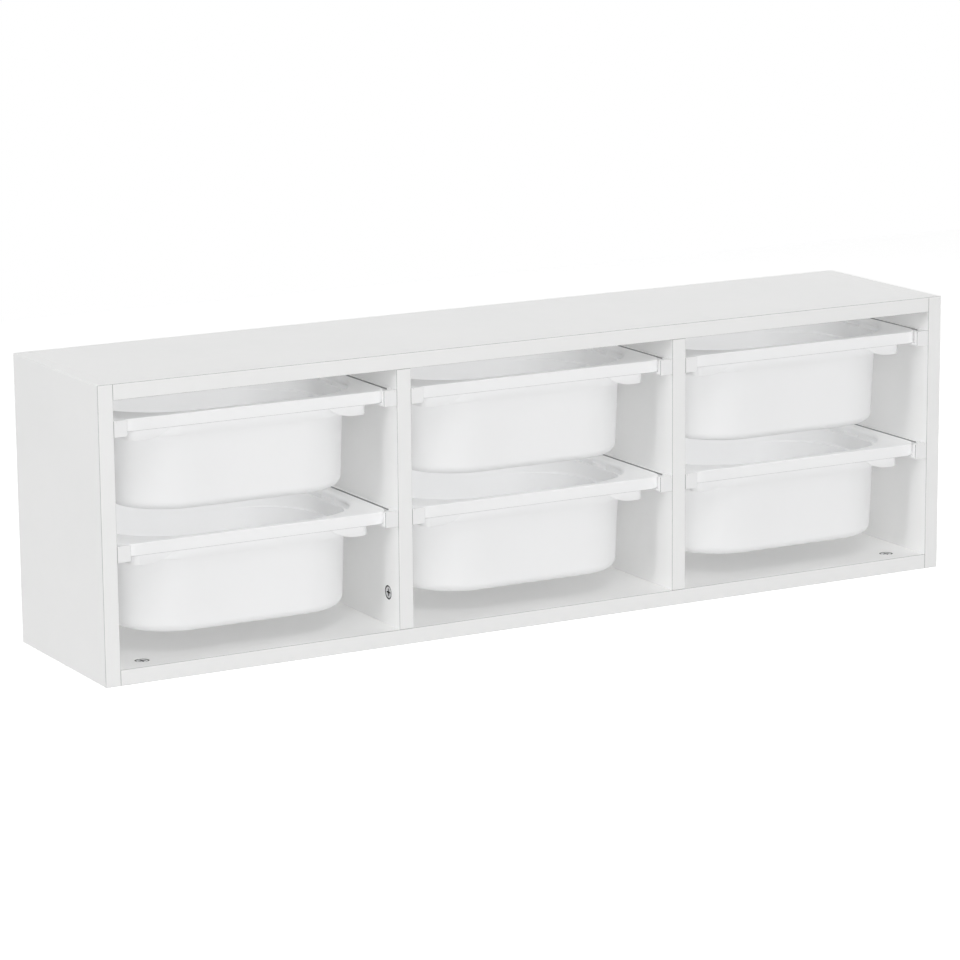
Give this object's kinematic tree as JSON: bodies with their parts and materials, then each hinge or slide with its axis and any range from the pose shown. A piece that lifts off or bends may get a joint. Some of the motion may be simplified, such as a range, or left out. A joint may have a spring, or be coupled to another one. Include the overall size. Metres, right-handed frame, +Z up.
{
  "type": "wall shelf",
  "caption": "Long low white wall shelf with open bays between dividers; plastic storage boxes hang by their rims on rails and lift out over front stops.",
  "frame": {"origin": "middle of the footprint, on the underside of the bottom panel", "axes": "+X along the shelf, -Y out of its open front, +Z up"},
  "size_m": [0.9898, 0.21, 0.3],
  "materials": {
    "white_board": "smooth white foil, satin",
    "white_back": "painted hardboard, matt",
    "box_plastic": "moulded polypropylene, fine satin",
    "rail_plastic": "moulded plastic, satin",
    "zinc": "zinc plated, dull",
    "beech": "raw, fluted"
  },
  "bodies": {
    "cabinet": {"side_panel_left": "white_board", "side_panel_right": "white_board", "top_panel": "white_board", "bottom_panel": "white_board", "divider_left": "white_board", "divider_right": "white_board", "back_panel": "white_back", "rail_left_bay_upper_left": "rail_plastic", "rail_left_bay_upper_right": "rail_plastic", "rail_left_bay_lower_left": "rail_plastic", "rail_left_bay_lower_right": "rail_plastic", "rail_middle_bay_upper_left": "rail_plastic", "rail_middle_bay_upper_right": "rail_plastic", "rail_middle_bay_lower_left": "rail_plastic", "rail_middle_bay_lower_right": "rail_plastic", "rail_right_bay_upper_left": "rail_plastic", "rail_right_bay_upper_right": "rail_plastic", "rail_right_bay_lower_left": "rail_plastic", "rail_right_bay_lower_right": "rail_plastic", "cam_locks": "zinc", "cam_bolts": "zinc", "dowels": "beech", "rail_screws": "zinc", "hanger_plate_left": "zinc", "hanger_plate_right": "zinc", "hanger_screws": "zinc", "back_panel_nails": "zinc"},
    "box_left_upper": {"box_left_upper": "box_plastic"},
    "box_left_lower": {"box_left_lower": "box_plastic"},
    "box_middle_upper": {"box_middle_upper": "box_plastic"},
    "box_middle_lower": {"box_middle_lower": "box_plastic"},
    "box_right_upper": {"box_right_upper": "box_plastic"},
    "box_right_lower": {"box_right_lower": "box_plastic"}
  },
  "joints": [
    {"name": "box_left_upper_lift", "type": "slide", "parent": "cabinet", "child": "box_left_upper", "axis": [0, 0, 1], "range_m": [0, 0.0205]},
    {"name": "box_left_lower_lift", "type": "slide", "parent": "cabinet", "child": "box_left_lower", "axis": [0, 0, 1], "range_m": [0, 0.023]},
    {"name": "box_middle_upper_lift", "type": "slide", "parent": "cabinet", "child": "box_middle_upper", "axis": [0, 0, 1], "range_m": [0, 0.0205]},
    {"name": "box_middle_lower_lift", "type": "slide", "parent": "cabinet", "child": "box_middle_lower", "axis": [0, 0, 1], "range_m": [0, 0.023]},
    {"name": "box_right_upper_lift", "type": "slide", "parent": "cabinet", "child": "box_right_upper", "axis": [0, 0, 1], "range_m": [0, 0.0205]},
    {"name": "box_right_lower_lift", "type": "slide", "parent": "cabinet", "child": "box_right_lower", "axis": [0, 0, 1], "range_m": [0, 0.023]}
  ]
}
